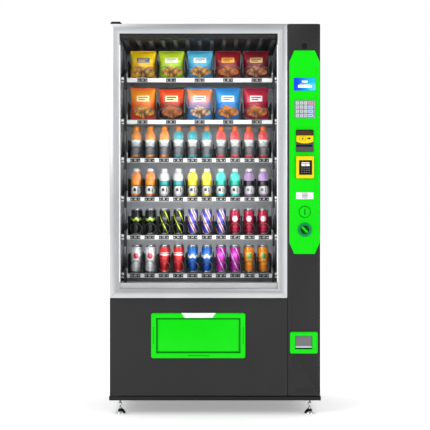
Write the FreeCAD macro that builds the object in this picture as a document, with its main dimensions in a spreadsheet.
import FreeCAD, Part
import math
import os
import re
import Sketcher

# A glass-fronted snack and drink vending machine. Millimetres, +Z up, the front faces -Y.
# The origin is on the floor, under the middle of the machine.

doc = FreeCAD.newDocument("vending_machine")
Vector = FreeCAD.Vector
X_AXIS = Vector(1, 0, 0)
Y_AXIS = Vector(0, 1, 0)
Z_AXIS = Vector(0, 0, 1)

# ---- driving dimensions -------------------------------------------------------------------

SIZES = [
    # the cabinet and its base
    ("half_width", 521, "centre line to each side of the cabinet and of the door"),
    ("skirt_half_width", 525, "centre line to each side of the base"),
    ("cabinet_front", -326, "front edge of the cabinet shell"),
    ("cabinet_back", 415, "back of the machine"),
    ("cabinet_top", 1940, "top of the cabinet shell"),
    ("sheet_wall", 2, "sheet steel of the shell"),
    ("skirt_low", 72, "underside of the base"),
    ("skirt_high", 92.6, "top of the base"),
    ("skirt_front", -385, "front of the base, under the door"),
    ("skirt_bar", 40, "width of the base's bars"),
    ("floor_plate", 6, "steel floor over the base"),
    ("foot_radius", 28.5, "levelling foot"),
    ("foot_height", 31, "bell of the levelling foot"),
    ("stem_radius", 5, "threaded stem of the levelling foot"),
    ("foot_inset", 52, "foot centre in from the side of the base"),
    ("inlet_x", 420, "power inlet in the back"),
    ("inlet_z", 190, "power inlet in the back"),
    ("inlet_radius", 14, "power inlet in the back"),
    # the insulated cabin
    ("cabin_left", -482, "inside of the left cabin wall"),
    ("cabin_right", 318, "inside of the right cabin wall"),
    ("cabin_wall", 20, "right cabin wall"),
    ("cabin_back", 330, "inside of the rear cabin wall"),
    ("cabin_ceiling", 1885, "inside of the ceiling"),
    ("cabin_floor", 600, "top of the insulated floor"),
    ("floor_panel", 40, "thickness of the insulated floor"),
    ("floor_panel_front", -150, "front edge of the insulated floor, behind the drop"),
    # the trays and their coils
    ("tray_left", -450, "left side of the trays"),
    ("tray_right", 292, "right side of the trays"),
    ("tray_front", -178, "front of the price rails"),
    ("tray_back", 262, "back of the decks"),
    ("tray_travel", 80, "how far a tray slides with the door shut"),
    ("rail_high", 21.5, "price rail height"),
    ("rail_deep", 8, "price rail depth"),
    ("deck_drop", 4, "deck surface below the rail's top edge"),
    ("deck_sheet", 2, "deck thickness"),
    ("divider_high", 100, "lane divider above the deck"),
    ("divider_wide", 3, "lane divider thickness"),
    ("divider_slope", 60, "run of the divider's sloping front"),
    ("motor_deep", 46, "depth of the motor housing behind the deck"),
    ("motor_high", 78, "height of the motor housing"),
    ("lane_pitch", 73, "spacing of the lanes"),
    ("coil_radius", 30, "centre line radius of the coils"),
    ("coil_wire", 2, "coil wire radius"),
    ("coil_pitch", 64, "advance of the coil in one turn"),
    ("coil_turns", 6.5, "turns of a coil"),
    ("coil_lift", 37, "coil axis above the deck"),
    ("coil_front", -160, "front end of the coils"),
    ("runner_sheet", 2, "tray runner thickness"),
    # the door
    ("door_back", -334, "back of the door frame"),
    ("frame_front", -380, "front of the door frame, behind the panels"),
    ("panel_front", -390, "front of the door's panels"),
    ("door_bottom", 96.5, "underside of the door"),
    ("door_top", 1938.5, "top of the door"),
    ("panel_right", 358, "right edge of the window side of the door"),
    ("column_left", 360, "left edge of the control column"),
    ("panel_top", 577, "top of the lower panel"),
    ("trim_low", 580, "underside of the window trim"),
    ("window_left", -474, "clear window, left"),
    ("window_right", 310, "clear window, right"),
    ("window_low", 627, "clear window, bottom"),
    ("window_high", 1885, "clear window, top"),
    ("glazing_lap", 12, "how far the frame's opening stands outside the clear window"),
    ("glass_thick", 6, "window glass"),
    ("gasket_deep", 7, "door seal"),
    ("gasket_wide", 16, "door seal width"),
    ("hinge_x", -503, "door hinge pin"),
    ("hinge_y", -372, "door hinge pin"),
    ("hinge_pin_radius", 5, "door hinge pin"),
    ("hinge_play", 0.08, "running clearance round the hinge pins"),
    # the delivery opening
    ("bezel_left", -316, "delivery bezel"),
    ("bezel_right", 150, "delivery bezel"),
    ("bezel_low", 283, "delivery bezel"),
    ("bezel_high", 506, "delivery bezel"),
    ("bezel_proud", 8, "delivery bezel in front of the lower panel"),
    ("flap_left", -289, "delivery flap"),
    ("flap_right", 124, "delivery flap"),
    ("flap_low", 310, "delivery flap"),
    ("flap_high", 480, "delivery flap"),
    ("flap_thick", 6, "delivery flap"),
    ("flap_play", 1.5, "gap round the delivery flap"),
    ("flap_pivot_y", -389, "axis of the delivery flap"),
    ("flap_pivot_z", 477, "axis of the delivery flap"),
    ("bin_left", -304, "delivery bin, outside"),
    ("bin_right", 138, "delivery bin, outside"),
    ("bin_low", 288, "delivery bin, outside"),
    ("bin_top", 540, "top edge of the delivery bin's back"),
    ("bin_back", -190, "delivery bin, outside"),
    # the control column
    ("column_x", 444, "centre line of the controls"),
    ("fascia_left", 368, "fascia"),
    ("fascia_right", 518, "fascia"),
    ("fascia_low", 799, "fascia"),
    ("fascia_high", 1805, "fascia"),
    ("fascia_thick", 6, "fascia"),
    ("fascia_shoulder", 55, "height of the fascia's sloping corners"),
    ("fascia_chamfer", 24, "width of the fascia's sloping corners"),
    ("display_half", 54, "display, half width"),
    ("display_low", 1607, "display"),
    ("display_high", 1670, "display"),
    ("keypad_half", 50, "keypad, half width"),
    ("keypad_low", 1471, "keypad"),
    ("keypad_high", 1558, "keypad"),
    ("keypad_proud", 4, "keypad plate in front of the fascia"),
    ("key_wide", 17, "narrow key"),
    ("last_key_wide", 25, "key in the right-hand column"),
    ("key_high", 17, "key height"),
    ("key_gap", 3.5, "space between keys"),
    ("key_play", 0.4, "clearance round a key"),
    ("key_proud", 3, "key in front of its plate"),
    ("key_deep", 10, "key depth"),
    ("bill_half", 43, "banknote acceptor, half width"),
    ("bill_low", 1304, "banknote acceptor"),
    ("bill_high", 1413, "banknote acceptor"),
    ("card_half", 44, "card reader, half width"),
    ("card_low", 1173, "card reader"),
    ("card_high", 1282, "card reader"),
    ("coin_half", 43, "coin entry, half width"),
    ("coin_low", 1070, "coin entry"),
    ("coin_high", 1104, "coin entry"),
    ("return_z", 1007, "coin return button"),
    ("return_radius", 26, "coin return button"),
    ("lock_z", 919, "door lock"),
    ("lock_radius", 35, "rim of the lock bowl"),
    ("lock_bore", 22, "inside of the lock bowl"),
    ("cup_left", 371, "coin cup bezel"),
    ("cup_right", 508, "coin cup bezel"),
    ("cup_low", 306, "coin cup bezel"),
    ("cup_high", 413, "coin cup bezel"),
    ("cup_mouth_left", 397, "coin cup mouth"),
    ("cup_mouth_right", 481, "coin cup mouth"),
    ("cup_mouth_low", 328, "coin cup mouth"),
    ("cup_mouth_high", 393, "coin cup mouth"),
]
# top edge of each price rail, from the top tray down, and the lanes on that tray
RAIL_TOPS = [1692, 1478, 1282, 1083, 888, 692]
DOUBLE_LANE_TRAYS = (1, 2)
LANES = 10

sheet = doc.addObject("Spreadsheet::Sheet", "Sizes")
for row, (alias, size, meaning) in enumerate(SIZES, start=1):
    sheet.set(f"A{row}", meaning)
    sheet.set(f"B{row}", str(size))
    sheet.setAlias(f"B{row}", alias)
for tray, rail_top in enumerate(RAIL_TOPS, start=1):
    row = len(SIZES) + tray
    sheet.set(f"A{row}", f"top edge of the price rail of tray {tray}")
    sheet.set(f"B{row}", str(rail_top))
    sheet.setAlias(f"B{row}", f"rail_{tray}")
doc.recompute()

ALIASES = {alias for alias, size, meaning in SIZES} | {f"rail_{n + 1}" for n in range(len(RAIL_TOPS))}
NODES = []

# ---- helpers ------------------------------------------------------------------------------


def in_sheet(text):
    """The expression with each alias turned into a reference to its cell."""
    return re.sub(r"[a-z]\w*", lambda word: "Sizes." + word[0] if word[0] in ALIASES else word[0], str(text))


def size(text):
    """What an expression of aliases comes to."""
    return float(sheet.evalExpression(in_sheet(text)))


def bind(item, prop, text):
    item.setExpression(prop, in_sheet(text))


def node(item, label):
    """Mark an object as a sub-part, which is written to a file of its own."""
    item.Label = label
    NODES.append(item)
    return item


def box(name, x, y, z):
    """A box between a low and a high expression on each axis."""
    block = doc.addObject("Part::Box", name)
    for prop, axis, (low, high) in (("Length", "x", x), ("Width", "y", y), ("Height", "z", z)):
        bind(block, prop, f"({high}) - ({low})")
        bind(block, f"Placement.Base.{axis}", low)
    return block


def rod(name, radius, start, length, along="z"):
    """A cylinder that runs from start, an (x, y, z) of expressions, along +x, +y or +z."""
    turned = {"x": FreeCAD.Rotation(Y_AXIS, 90), "y": FreeCAD.Rotation(X_AXIS, -90), "z": FreeCAD.Rotation()}
    cylinder = doc.addObject("Part::Cylinder", name)
    cylinder.Placement = FreeCAD.Placement(Vector(), turned[along])
    bind(cylinder, "Radius", radius)
    bind(cylinder, "Height", length)
    for axis, place in zip("xyz", start):
        bind(cylinder, f"Placement.Base.{axis}", place)
    return cylinder


def cut(name, base, *tools):
    """The base with the tools taken away, and a check that something went."""
    result = base
    for number, tool in enumerate(tools, start=1):
        step = doc.addObject("Part::Cut", f"{name}_cut_{number}")
        step.Base = result
        step.Tool = tool
        result = step
    doc.recompute()
    if result.Shape.Volume >= base.Shape.Volume:
        raise ValueError(f"{name}: nothing was cut")
    return result


def fuse(name, *pieces):
    joined = doc.addObject("Part::MultiFuse", f"{name}_fuse")
    joined.Shapes = list(pieces)
    joined.Refine = True
    return joined


def assembly(label, *pieces):
    """Separate solids of one sub-part, such as the bars of a welded frame."""
    whole = doc.addObject("Part::Compound", label)
    whole.Links = list(pieces)
    return node(whole, label)


def rectangle(sketch, x, z, corner_at_origin=False):
    """A rectangle between two expressions each way, measured from the sketch's origin."""
    left, right = (size(edge) for edge in x)
    low, high = (size(edge) for edge in z)
    corners = [Vector(left, low), Vector(right, low), Vector(right, high), Vector(left, high)]
    first = sketch.GeometryCount
    for start, end in zip(corners, corners[1:] + corners[:1]):
        sketch.addGeometry(Part.LineSegment(start, end))
    for side in range(4):
        sketch.addConstraint(Sketcher.Constraint("Coincident", first + side, 2, first + (side + 1) % 4, 1))
        sketch.addConstraint(Sketcher.Constraint("Vertical" if side % 2 else "Horizontal", first + side))
    bounds = [("DistanceX", 1, x[1], right), ("DistanceY", 1, z[1], high)]
    if corner_at_origin:
        sketch.addConstraint(Sketcher.Constraint("Coincident", first, 1, -1, 1))
    else:
        bounds += [("DistanceX", 3, x[0], left), ("DistanceY", 3, z[0], low)]
    for kind, side, text, value in bounds:
        corner = (first + 1, 2) if side == 1 else (first, 1)
        number = sketch.addConstraint(Sketcher.Constraint(kind, -1, 1, *corner, value))
        sketch.setExpression(f"Constraints[{number}]", in_sheet(text))


def circle(sketch, x, z, radius):
    """A circle whose centre and radius are bound to the sheet."""
    number = sketch.addGeometry(Part.Circle(Vector(size(x), size(z)), Z_AXIS, size(radius)))
    for kind, text in (("DistanceX", x), ("DistanceY", z)):
        place = sketch.addConstraint(Sketcher.Constraint(kind, -1, 1, number, 3, size(text)))
        sketch.setExpression(f"Constraints[{place}]", in_sheet(text))
    width = sketch.addConstraint(Sketcher.Constraint("Radius", number, size(radius)))
    sketch.setExpression(f"Constraints[{width}]", in_sheet(radius))


def origin_plane(body, role):
    return next(plane for plane in body.Origin.OriginFeatures if plane.Role == role)


def sketch_on(body, name, role="XZ_Plane"):
    sketch = body.newObject("Sketcher::SketchObject", name)
    sketch.AttachmentSupport = (origin_plane(body, role), "")
    sketch.MapMode = "FlatFace"
    return sketch


def front_plate(name, x, z, back, thick, windows=(), holes=(), corner=0, shoulders=None):
    """An upright plate that faces the front, with rectangular windows and round holes through it.

    The body's own origin is the plate's lower left back corner. Windows are ((x, x), (z, z)) and
    holes are (x, z, radius), in the machine's frame. Shoulders are the (across, up) of sloping corners.
    """
    body = doc.addObject("PartDesign::Body", name)
    bind(body, "Placement.Base.x", x[0])
    bind(body, "Placement.Base.y", back)
    bind(body, "Placement.Base.z", z[0])
    outline = sketch_on(body, f"{name}_outline")
    wide = f"({x[1]}) - ({x[0]})"
    high = f"({z[1]}) - ({z[0]})"
    if shoulders:
        across, up = shoulders
        polygon(outline, [
            (across, "0"), (f"{wide} - {across}", "0"), (wide, up), (wide, f"{high} - {up}"),
            (f"{wide} - {across}", high), (across, high), ("0", f"{high} - {up}"), ("0", up),
        ])
    else:
        rectangle(outline, ("0", wide), ("0", high), corner_at_origin=True)
    pad = body.newObject("PartDesign::Pad", f"{name}_pad")
    pad.Profile = outline
    bind(pad, "Length", thick)
    doc.recompute()
    if corner:
        upright = [
            f"Edge{number}" for number, edge in enumerate(pad.Shape.Edges, start=1)
            if edge.tangentAt(edge.FirstParameter).cross(Y_AXIS).Length < 0.01
        ]
        fillet = body.newObject("PartDesign::Fillet", f"{name}_corners")
        fillet.Base = (pad, upright)
        bind(fillet, "Radius", corner)
        doc.recompute()
    if windows or holes:
        solid = body.Shape.Volume
        openings = sketch_on(body, f"{name}_openings")
        for across, up in windows:
            rectangle(
                openings,
                tuple(f"({edge}) - ({x[0]})" for edge in across),
                tuple(f"({edge}) - ({z[0]})" for edge in up),
            )
        for centre_x, centre_z, radius in holes:
            circle(openings, f"({centre_x}) - ({x[0]})", f"({centre_z}) - ({z[0]})", radius)
        pocket = body.newObject("PartDesign::Pocket", f"{name}_pocket")
        pocket.Profile = openings
        pocket.Type = "ThroughAll"
        pocket.Midplane = True
        doc.recompute()
        if body.Shape.Volume >= solid:
            raise ValueError(f"{name}: its openings cut nothing")
    return body


def polygon(sketch, points):
    """A closed outline whose (across, up) corners are bound to the sheet."""
    corners = [Vector(size(across), size(up)) for across, up in points]
    for start, end in zip(corners, corners[1:] + corners[:1]):
        sketch.addGeometry(Part.LineSegment(start, end))
    for number, (across, up) in enumerate(points):
        sketch.addConstraint(Sketcher.Constraint("Coincident", number, 2, (number + 1) % len(points), 1))
        for kind, text in (("DistanceX", across), ("DistanceY", up)):
            place = sketch.addConstraint(Sketcher.Constraint(kind, -1, 1, number, 1, size(text)))
            sketch.setExpression(f"Constraints[{place}]", in_sheet(text))


def turned(name, outline, place, along="z"):
    """A body turned about its own Z axis from (radius, height) points, then laid along an axis."""
    body = doc.addObject("PartDesign::Body", name)
    facing = {"z": FreeCAD.Rotation(), "y": FreeCAD.Rotation(X_AXIS, -90)}
    body.Placement = FreeCAD.Placement(Vector(), facing[along])
    for axis, text in zip("xyz", place):
        bind(body, f"Placement.Base.{axis}", text)
    sketch = sketch_on(body, f"{name}_profile")
    polygon(sketch, outline)
    revolve = body.newObject("PartDesign::Revolution", f"{name}_revolution")
    revolve.Profile = sketch
    revolve.ReferenceAxis = (sketch, ["V_Axis"])
    revolve.Angle = 360
    doc.recompute()
    return body


# ---- cabinet and base ---------------------------------------------------------------------


def make_cabinet():
    inner = "half_width - sheet_wall"
    shell_height = ("skirt_high", "cabinet_top - sheet_wall")
    sides = [
        box("shell_left", ("-half_width", f"-({inner})"), ("cabinet_front", "cabinet_back"), shell_height),
        box("shell_right", (inner, "half_width"), ("cabinet_front", "cabinet_back"), shell_height),
    ]
    back_sheet = box("shell_back_sheet", (f"-({inner})", inner), ("cabinet_back - sheet_wall", "cabinet_back"),
                     shell_height)
    inlet_hole = rod("inlet_hole", "inlet_radius + 0.3", ("inlet_x", "cabinet_back - 10", "inlet_z"), "20",
                     along="y")
    back = cut("shell_back", back_sheet, inlet_hole)
    inlet = rod("power_inlet", "inlet_radius", ("inlet_x", "cabinet_back - 34", "inlet_z"), "34", along="y")
    top = box("shell_top", ("-half_width", "half_width"), ("cabinet_front", "cabinet_back"),
              ("cabinet_top - sheet_wall", "cabinet_top"))
    assembly("cabinet_shell", *sides, back, top, inlet)

    bar_height = ("skirt_low", "skirt_high")
    between = ("-skirt_half_width + skirt_bar", "skirt_half_width - skirt_bar")
    assembly(
        "base_frame",
        box("base_front", ("-skirt_half_width", "skirt_half_width"),
            ("skirt_front", "skirt_front + skirt_bar"), bar_height),
        box("base_rear", ("-skirt_half_width", "skirt_half_width"),
            ("cabinet_back - skirt_bar", "cabinet_back"), bar_height),
        *[
            box(f"base_side_{side}", across, ("skirt_front + skirt_bar", "cabinet_back - skirt_bar"),
                bar_height)
            for side, across in (
                ("left", ("-skirt_half_width", between[0])), ("right", (between[1], "skirt_half_width")),
            )
        ],
        box("base_floor", (f"-({inner})", inner), ("cabinet_front", "cabinet_back - sheet_wall"),
            ("skirt_high", "skirt_high + floor_plate")),
    )


def make_insulated_cabin():
    """Foam-filled panels between the shell and the cold space, and the sill the door seals on."""
    base = "skirt_high + floor_plate"
    roof = "cabinet_top - sheet_wall"
    rear = "cabinet_back - sheet_wall"
    inside_shell = "half_width - sheet_wall"
    across = ("cabin_left", "cabin_right")
    assembly(
        "insulated_cabin",
        box("cabin_left_wall", (f"-({inside_shell})", "cabin_left"), ("cabinet_front", rear), (base, roof)),
        box("cabin_right_wall", ("cabin_right", "cabin_right + cabin_wall"), ("cabinet_front", rear),
            (base, roof)),
        box("cabin_rear_wall", across, ("cabin_back", rear), (base, roof)),
        box("cabin_roof", across, ("cabinet_front", "cabin_back"), ("cabin_ceiling", roof)),
        box("cabin_deck", across, ("floor_panel_front", "cabin_back"),
            ("cabin_floor - floor_panel", "cabin_floor")),
        box("cabin_sill", across, ("cabinet_front", "cabinet_front + floor_panel"),
            (base, f"{base} + floor_panel")),
    )


def make_feet():
    """Four bell-shaped levelling feet on threaded stems."""
    feet = []
    for side in ("-", ""):
        for depth in ("skirt_front + foot_inset", "cabinet_back - foot_inset"):
            place = (f"{side}(skirt_half_width - foot_inset)", depth, "0")
            name = f"foot_{len(feet) + 1}"
            bell = turned(name, [
                ("0", "0"), ("foot_radius", "0"), ("foot_radius", "foot_height * 0.2"),
                ("foot_radius * 0.72", "foot_height * 0.62"), ("stem_radius * 1.7", "foot_height"),
                ("0", "foot_height"),
            ], place)
            stem = rod(f"{name}_stem", "stem_radius", (place[0], place[1], "foot_height"),
                       "skirt_low - foot_height")
            nut = rod(f"{name}_nut", "stem_radius * 1.9", (place[0], place[1], "foot_height + 14"), "8")
            feet += [fuse(name, bell, stem, nut)]
    assembly("levelling_feet", *feet)


def make_refrigeration():
    """The sealed compressor and the finned condenser with its fan, under the cold cabin."""
    floor = "skirt_high + floor_plate"
    compressor = turned("compressor_can", [
        ("0", "10"), ("78", "10"), ("92", "34"), ("92", "150"), ("70", "188"), ("0", "196"),
    ], ("-250", "150", floor))
    feet = [
        box(f"compressor_foot_{number}", (f"{x} - 20", f"{x} + 20"), ("60", "240"), (floor, f"{floor} + 11"))
        for number, x in enumerate((-310, -190), start=1)
    ]
    node(fuse("compressor", compressor, *feet), "compressor")
    assembly(
        "condenser",
        box("condenser_core", ("-60", "260"), ("150", "210"), (floor, f"{floor} + 300")),
        rod("condenser_fan_ring", "130", ("100", "211", f"{floor} + 150"), "34", along="y"),
    )


def make_hinge_brackets():
    """A plate and pin over the door's top corner and one under its bottom corner."""
    across = ("-half_width + 1", "-half_width + 58")
    front = "panel_front + 6"
    top_plate = box("hinge_top_plate", across, (front, "cabinet_front + 60"),
                    ("cabinet_top", "cabinet_top + 4"))
    top_pin = rod("hinge_top_pin", "hinge_pin_radius", ("hinge_x", "hinge_y", "door_top - 28"),
                  "cabinet_top + 4 - (door_top - 28)")
    bottom_plate = box("hinge_bottom_plate", across, (front, "cabinet_front - 0.5"),
                       ("skirt_high", "skirt_high + 3"))
    bottom_pin = rod("hinge_bottom_pin", "hinge_pin_radius", ("hinge_x", "hinge_y", "skirt_high"),
                     "door_bottom + 28 - skirt_high")
    cap = box("hinge_cap", ("-half_width + 6", "-half_width + 52"), (front, "cabinet_front"),
              ("cabinet_top + 4", "cabinet_top + 10"))
    assembly("hinge_brackets", fuse("hinge_top", top_plate, top_pin), cap,
             fuse("hinge_bottom", bottom_plate, bottom_pin))


# ---- trays --------------------------------------------------------------------------------


def lane_centre(lane):
    """Where a lane's centre lies across the machine, counting lanes from 0 at the left."""
    return (size("tray_left") + size("tray_right")) / 2 + (lane - (LANES - 1) / 2) * size("lane_pitch")


def divider(name, x, tray):
    """A lane divider: a thin plate whose front slopes up from the price rail."""
    front = size("tray_front + rail_deep")
    back = size("tray_back")
    low = size(f"rail_{tray} - deck_drop")
    high = low + size("divider_high")
    slope = size("divider_slope")
    outline = Part.makePolygon([
        Vector(0, front, low), Vector(0, back, low), Vector(0, back, high),
        Vector(0, front + slope, high), Vector(0, front, low + 14), Vector(0, front, low),
    ])
    plate = doc.addObject("Part::Feature", name)
    plate.Shape = Part.Face(outline).extrude(X_AXIS * size("divider_wide"))
    plate.Placement.Base = Vector(x - size("divider_wide") / 2, 0, 0)
    return plate


def make_tray(tray):
    """A deck with its price rail, lane dividers and motor housing."""
    top = f"rail_{tray}"
    deck_top = f"({top} - deck_drop)"
    across = ("tray_left", "tray_right")
    pieces = [
        box(f"tray_{tray}_sheet", across, ("tray_front + rail_deep", "tray_back + motor_deep"),
            (f"{deck_top} - deck_sheet", deck_top)),
        box(f"tray_{tray}_rail", across, ("tray_front", "tray_front + rail_deep"),
            (f"{top} - rail_high", top)),
        box(f"tray_{tray}_motors", across, ("tray_back", "tray_back + motor_deep"),
            (deck_top, f"{deck_top} + motor_high")),
    ]
    lanes_wide = 2 if tray in DOUBLE_LANE_TRAYS else 1
    edges = [lane_centre(lane) - size("lane_pitch") / 2 for lane in range(lanes_wide, LANES, lanes_wide)]
    sides = [size("tray_left + divider_wide / 2"), size("tray_right - divider_wide / 2")]
    for number, x in enumerate([sides[0], *edges, sides[1]], start=1):
        pieces.append(divider(f"tray_{tray}_divider_{number}", x, tray))
    assembly(f"tray_{tray}_deck", *pieces)


def coil_shape(left_handed):
    """A wire coil along +Y from the origin, on a hub at its back end.

    Each half turn is half a torus, tilted so that it climbs half the pitch and meets the next one
    smoothly: all of them run level across the machine where they meet, at the top and the bottom.
    """
    radius = size("coil_radius")
    step = size("coil_pitch") / 2
    reach = math.sqrt(radius ** 2 - (step / 2) ** 2)
    halves = []
    for number in range(round(2 * size("coil_turns"))):
        side = 1 if number % 2 == 0 else -1
        start = Vector(0, -step / 2, side * reach).normalize()
        bulge = X_AXIS * (-side if left_handed else side)
        half = Part.makeTorus(radius, size("coil_wire"), Vector(), Z_AXIS, 0, 360, 180)
        centre = Vector(0, (number + 0.5) * step, 0)
        half.Placement = FreeCAD.Placement(centre, FreeCAD.Rotation(start, bulge, start.cross(bulge), "XYZ"))
        halves.append(half)
    hub = Part.makeCylinder(radius + size("coil_wire"), 6, Vector(0, len(halves) * step - 3, 0), Y_AXIS)
    return halves[0].multiFuse([*halves[1:], hub])


def coil_place(lane, tray):
    """The front end of a coil's axis."""
    height = size(f"rail_{tray} - deck_drop + coil_lift")
    return Vector(lane_centre(lane), size("coil_front"), height)


def coil_group(label, shapes, tray, lanes):
    """The coils of some lanes of a tray, mirror-handed in turn where two share a product."""
    placed = []
    for lane in lanes:
        left_handed = tray in DOUBLE_LANE_TRAYS and lane % 2 == 0
        placed.append(shapes[left_handed].translated(coil_place(lane, tray)))
    coils = doc.addObject("Part::Feature", label)
    coils.Shape = placed[0] if len(placed) == 1 else Part.makeCompound(placed)
    node(coils, label)


def make_coils():
    """One vending pair and one single coil turn; the others stand in groups on their trays."""
    shapes = {left_handed: coil_shape(left_handed) for left_handed in (False, True)}
    turning = {1: (4, 5), 5: (4,)}
    for tray in range(1, len(RAIL_TOPS) + 1):
        still = [lane for lane in range(LANES) if lane not in turning.get(tray, ())]
        coil_group(f"tray_{tray}_coils", shapes, tray, still)
    coil_group("tray_1_left_coil", shapes, 1, (4,))
    coil_group("tray_1_right_coil", shapes, 1, (5,))
    coil_group("tray_5_turning_coil", shapes, 5, (4,))


def make_runners():
    """An angle on each side wall under each tray's edge."""
    runners = []
    for tray in range(1, len(RAIL_TOPS) + 1):
        under = f"(rail_{tray} - deck_drop - deck_sheet)"
        depth = ("tray_front + rail_deep + 6", "tray_back + motor_deep")
        for side, wall, flange, ledge in (
            ("left", "cabin_left", "cabin_left + runner_sheet", "tray_left + 10"),
            ("right", "cabin_right", "cabin_right - runner_sheet", "tray_right - 10"),
        ):
            upright = (wall, flange) if side == "left" else (flange, wall)
            shelf = (wall, ledge) if side == "left" else (ledge, wall)
            runners.append(box(f"runner_{tray}_{side}_wall", upright, depth, (f"{under} - 0.4", f"{under} + 24")))
            runners.append(box(f"runner_{tray}_{side}_ledge", shelf, depth,
                               (f"{under} - 0.4 - runner_sheet", f"{under} - 0.4")))
    assembly("tray_runners", *runners)


# ---- door ---------------------------------------------------------------------------------


def make_door_frame():
    """The door's welded frame of steel bars, with bores for the hinge pins in its left stile."""
    depth = ("frame_front", "door_back")
    full = ("door_bottom", "door_top")
    lap = "glazing_lap"
    inner_left = f"window_left - {lap}"
    inner_right = f"window_right + {lap}"
    stile = box("stile_block", ("-half_width", inner_left), depth, full)
    bores = [
        rod(f"hinge_bore_{end}", "hinge_pin_radius + hinge_play", ("hinge_x", "hinge_y", low), "32")
        for end, low in (("top", "door_top - 30"), ("bottom", "door_bottom - 2"))
    ]
    left = cut("left_stile", stile, *bores)
    post = ("window_right + glazing_lap", "column_left + 12")
    column = (post[1], "half_width - 12")
    rails = [
        ("rail_over_window", (inner_left, inner_right), (f"window_high + {lap}", "door_top")),
        ("rail_under_window", (inner_left, inner_right), (f"window_low - {lap} - 55", f"window_low - {lap}")),
        ("rail_at_foot", (inner_left, inner_right), ("door_bottom", "door_bottom + 54")),
        ("column_head", column, ("door_top - 58", "door_top")),
        ("column_upper_rail", column, ("fascia_high - 100", "fascia_high - 60")),
        ("column_lower_rail", column, ("fascia_low - 80", "fascia_low - 20")),
        ("column_foot", column, ("door_bottom", "door_bottom + 54")),
    ]
    assembly(
        "door_frame",
        left,
        box("middle_post", post, depth, full),
        box("right_stile", (column[1], "half_width"), depth, full),
        *[box(name, across, depth, up) for name, across, up in rails],
    )


def trim_bar(name, corners):
    """A mitred bar of the window trim, between two of its corners.

    Each corner is its (x, z) and the way inwards from it; the bar's section is given by how far in
    from the trim's outer edge each point lies, and how far back.
    """
    front = size("panel_front")
    back = size("frame_front")
    wide = size("window_low - trim_low")
    section = [(0, back), (0, front + 1), (1.5, front), (30, front), (wide, front + 6), (wide, back)]
    ends = []
    for (x, z), (inward_x, inward_z) in corners:
        points = [Vector(x + inward_x * away, y, z + inward_z * away) for away, y in section]
        ends.append(Part.makePolygon(points + points[:1]))
    bar = doc.addObject("Part::Feature", name)
    bar.Shape = Part.makeLoft(ends, True, True)
    return bar


def make_window():
    """The glass, the aluminium trim in front of it and the seal on the back of the door."""
    left = size("-half_width")
    right = size("panel_right")
    low = size("trim_low")
    high = size("door_top")
    corners = [((left, low), (1, 1)), ((right, low), (-1, 1)), ((right, high), (-1, -1)), ((left, high), (1, -1))]
    sides = ("bottom", "right", "top", "left")
    bars = [
        trim_bar(f"trim_{side}", (start, end))
        for side, start, end in zip(sides, corners, corners[1:] + corners[:1])
    ]
    assembly("window_trim", *bars)
    edge = "glazing_lap - 1"
    glass = box("window_glass", (f"window_left - ({edge})", f"window_right + {edge}"),
                ("frame_front", "frame_front + glass_thick"), (f"window_low - ({edge})", f"window_high + {edge}"))
    node(glass, "window_glass")

    outer = ("-half_width + 9", "cabin_right + cabin_wall - 2")
    inner = ("-half_width + 9 + gasket_wide", "cabin_right + cabin_wall - 2 - gasket_wide")
    up = ("skirt_high + 12", "cabin_ceiling + 41")
    depth = ("door_back", "door_back + gasket_deep")
    assembly(
        "door_gasket",
        box("gasket_left", (outer[0], inner[0]), depth, up),
        box("gasket_right", (inner[1], outer[1]), depth, up),
        box("gasket_bottom", inner, depth, (up[0], f"{up[0]} + gasket_wide")),
        box("gasket_top", inner, depth, (f"{up[1]} - gasket_wide", up[1])),
    )


def make_door_panels():
    """The lower panel, the control column and the fascia on it, with their openings."""
    skin = "frame_front - panel_front"
    delivery = (("bezel_left + 10", "bezel_right - 10"), ("bezel_low + 10", "bezel_high - 10"))
    node(front_plate("lower_panel", ("-half_width", "panel_right"), ("door_bottom", "panel_top"),
                     "frame_front", skin, windows=[delivery], corner="6"), "lower_panel")
    behind_fascia = (("fascia_left + 14", "fascia_right - 14"), ("fascia_low + 60", "display_high + 10"))
    cup = (("cup_mouth_left - 8", "cup_mouth_right + 8"), ("cup_mouth_low - 8", "cup_mouth_high + 8"))
    node(front_plate("control_column", ("column_left", "half_width"), ("door_bottom", "door_top"),
                     "frame_front", skin, windows=[behind_fascia, cup], corner="8"), "control_column")
    modules = [
        ("display_half", "display_low", "display_high"), ("keypad_half", "keypad_low", "keypad_high"),
        ("bill_half", "bill_low", "bill_high"), ("card_half", "card_low", "card_high"),
        ("coin_half", "coin_low", "coin_high"),
    ]
    windows = [
        ((f"column_x - {half} - 0.5", f"column_x + {half} + 0.5"), (f"{low} - 0.5", f"{high} + 0.5"))
        for half, low, high in modules
    ]
    holes = [("column_x", "return_z", "return_radius + 0.6"), ("column_x", "lock_z", "lock_radius - 4.5")]
    fascia = front_plate("fascia", ("fascia_left", "fascia_right"), ("fascia_low", "fascia_high"),
                         "panel_front", "fascia_thick", windows=windows, holes=holes,
                         shoulders=("fascia_chamfer", "fascia_shoulder"))
    node(fascia, "fascia")


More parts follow.
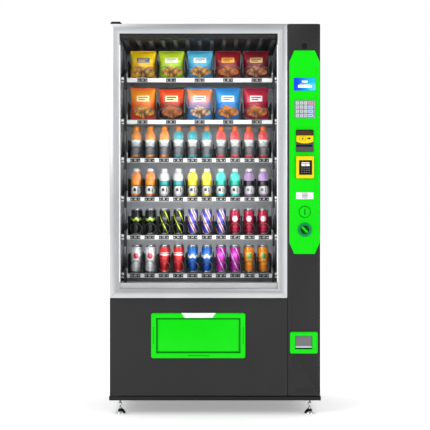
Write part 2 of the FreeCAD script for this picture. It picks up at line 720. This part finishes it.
def make_delivery():
    """The delivery opening: its bezel, its flap and the bin behind it."""
    play = "flap_play"
    mouth = ((f"flap_left - {play}", f"flap_right + {play}"), (f"flap_low - {play}", f"flap_high + {play}"))
    bezel = front_plate("delivery_bezel", ("bezel_left", "bezel_right"), ("bezel_low", "bezel_high"),
                        "panel_front", "bezel_proud", windows=[mouth], corner="12")
    node(bezel, "delivery_bezel")
    flap = front_plate("delivery_flap", ("flap_left", "flap_right"), ("flap_low", "flap_high"),
                       "flap_pivot_y + flap_thick / 2", "flap_thick", corner="4")
    node(flap, "delivery_flap")
    depth = ("frame_front", "bin_back")
    wall = "3"
    above = f"bin_low + {wall}"
    assembly(
        "delivery_bin",
        box("bin_floor", ("bin_left", "bin_right"), depth, ("bin_low", above)),
        box("bin_left_wall", ("bin_left", f"bin_left + {wall}"), depth, (above, "bin_top")),
        box("bin_right_wall", (f"bin_right - {wall}", "bin_right"), depth, (above, "bin_top")),
        box("bin_back_wall", (f"bin_left + {wall}", f"bin_right - {wall}"),
            (f"bin_back - {wall}", "bin_back"), (above, "bin_top")),
    )


# ---- the control column -------------------------------------------------------------------


def make_payment():
    """Display, banknote acceptor, card reader, coin entry and the coin mechanism behind them."""
    face = "panel_front - fascia_thick"

    def across(half):
        return (f"column_x - {half}", f"column_x + {half}")

    node(box("display", across("display_half"), (f"{face} + 1", "frame_front"), ("display_low", "display_high")),
         "display")
    acceptor = box("acceptor_body", across("bill_half"), (f"{face} - 6", "-290"), ("bill_low", "bill_high"))
    mouth = box("acceptor_mouth", across("bill_half - 7"), (f"{face} - 7", f"{face} + 20"),
                ("bill_low + 26", "bill_low + 34"))
    node(cut("bill_acceptor", acceptor, mouth), "bill_acceptor")
    node(box("card_reader", across("card_half"), (f"{face} - 19", "-340"), ("card_low", "card_high")),
         "card_reader")
    entry = box("coin_plate", across("coin_half"), (f"{face} - 4", "frame_front - 4"), ("coin_low", "coin_high"))
    slot = box("coin_slot", across("14"), (f"{face} - 5", f"{face} + 4"),
               ("(coin_low + coin_high) / 2 - 1.6", "(coin_low + coin_high) / 2 + 1.6"))
    node(cut("coin_entry", entry, slot), "coin_entry")
    node(box("coin_mechanism", ("column_left - 14", "column_x + 38"), ("door_back", "door_back + 94"),
             ("coin_low - 110", "coin_high + 70")), "coin_mechanism")


def make_keypad():
    """A keypad plate with a hole for each key, its circuit board, and sixteen keys."""
    face = "panel_front - fascia_thick - keypad_proud"
    widths = ["key_wide", "key_wide", "key_wide", "last_key_wide"]
    windows = []
    row_step = "(key_high + key_gap)"
    margin = "(keypad_high - keypad_low - 4 * key_high - 3 * key_gap) / 2"
    for row in range(4):
        low = f"keypad_high - {margin} - key_high - {row} * {row_step}"
        for column, wide in enumerate(widths):
            left = f"column_x - keypad_half + 5 + {column} * (key_wide + key_gap)"
            right = f"{left} + {wide}"
            windows.append(((f"{left} - key_play", f"{right} + key_play"),
                            (f"{low} - key_play", f"{low} + key_high + key_play")))
            key = front_plate(f"key_{row + 1}_{column + 1}", (left, right), (low, f"{low} + key_high"),
                              f"{face} - key_proud + key_deep", "key_deep", corner="2")
            node(key, f"key_row_{row + 1}_column_{column + 1}")
    across = ("column_x - keypad_half", "column_x + keypad_half")
    plate = front_plate("keypad_front", across, ("keypad_low", "keypad_high"), f"{face} + 8", "8",
                        windows=windows, corner="3")
    board = box("keypad_board", across, (f"{face} + 11", "frame_front - 4"), ("keypad_low", "keypad_high"))
    assembly("keypad_plate", plate, board)


def make_lock_and_return():
    """The bowl and T-handle of the door lock, and the coin return button above it."""
    face = "panel_front - fascia_thick"
    bowl = turned("lock_bowl", [
        ("hinge_pin_radius + 0.2", "30"), ("lock_bore", "30"), ("lock_bore", "0"), ("lock_radius - 4", "0"),
        ("lock_radius", "4"), ("lock_radius", "8"), ("lock_radius - 5", "8"), ("lock_radius - 5", "36"),
        ("hinge_pin_radius + 0.2", "36"),
    ], ("column_x", f"{face} - 8", "lock_z"), along="y")
    node(bowl, "lock_bowl")
    bar = box("handle_bar", ("-lock_bore + 3", "lock_bore - 3"), ("0", "11"), ("-5", "5"))
    spindle = rod("handle_spindle", "hinge_pin_radius", ("0", "5", "0"), "37", along="y")
    handle = fuse("lock_handle", bar, spindle)
    handle.Placement = FreeCAD.Placement(Vector(), FreeCAD.Rotation(Y_AXIS, 45))
    for axis, text in zip("xyz", ("column_x", f"{face} - 5", "lock_z")):
        bind(handle, f"Placement.Base.{axis}", text)
    node(handle, "lock_handle")

    button = turned("return_button", [
        ("0", "0"), ("return_radius - 3", "0"), ("return_radius", "2"), ("return_radius", "11"),
        ("8", "11"), ("8", "32"), ("0", "32"),
    ], ("column_x", f"{face} - 8", "return_z"), along="y")
    slit = box("return_slit", ("column_x - 3", "column_x + 3"), (f"{face} - 9", f"{face} - 4"),
               ("return_z - 15", "return_z + 15"))
    node(cut("coin_return_button", button, slit), "coin_return_button")


def make_coin_cup():
    """The coin cup: its bezel, the cup behind it and its flap.

    The bezel is four bars, so that each is a plain solid with nothing across the mouth.
    """
    across = ("cup_left", "cup_right")
    plate = ("panel_front - 8", "panel_front")
    bezel = [
        box("cup_sill", across, plate, ("cup_low", "cup_mouth_low")),
        box("cup_head", across, plate, ("cup_mouth_high", "cup_high")),
        box("cup_left_bar", ("cup_left", "cup_mouth_left"), plate, ("cup_mouth_low", "cup_mouth_high")),
        box("cup_right_bar", ("cup_mouth_right", "cup_right"), plate, ("cup_mouth_low", "cup_mouth_high")),
    ]
    left = ("cup_mouth_left - 6", "cup_mouth_left - 3")
    right = ("cup_mouth_right + 3", "cup_mouth_right + 6")
    low = ("cup_mouth_low - 6", "cup_mouth_low - 3")
    high = ("cup_mouth_high + 3", "cup_mouth_high + 6")
    depth = ("panel_front", "panel_front + 72")
    walls = [
        box("cup_left_wall", left, depth, (low[1], high[0])),
        box("cup_right_wall", right, depth, (low[1], high[0])),
        box("cup_floor", (left[0], right[1]), depth, low),
        box("cup_roof", (left[0], right[1]), depth, high),
        box("cup_back", (left[1], right[0]), (f"{depth[1]} - 3", depth[1]), (low[1], high[0])),
    ]
    assembly("coin_cup", *bezel, *walls)
    flap = front_plate("coin_flap", ("cup_mouth_left + 1", "cup_mouth_right - 1"),
                       ("cup_mouth_low + 1", "cup_mouth_high - 1"), "panel_front", "4", corner="2")
    node(flap, "coin_flap")


# ---- the whole machine --------------------------------------------------------------------

make_cabinet()
make_insulated_cabin()
make_feet()
make_refrigeration()
make_hinge_brackets()
for tray_number in range(1, len(RAIL_TOPS) + 1):
    make_tray(tray_number)
make_coils()
make_runners()
make_door_frame()
make_window()
make_door_panels()
make_delivery()
make_payment()
make_keypad()
make_lock_and_return()
make_coin_cup()
doc.recompute()

for item in doc.Objects:
    if "Invalid" in item.State or "Error" in item.State:
        raise RuntimeError(f"{item.Label}: {item.State}")
for part in NODES:
    if part.Shape.isNull() or not part.Shape.isValid():
        raise RuntimeError(f"{part.Label}: its shape is not valid")

os.makedirs("parts", exist_ok=True)
for part in NODES:
    part.Shape.exportStep(f"parts/{part.Label}.step")
print(len(NODES), "sub-parts")
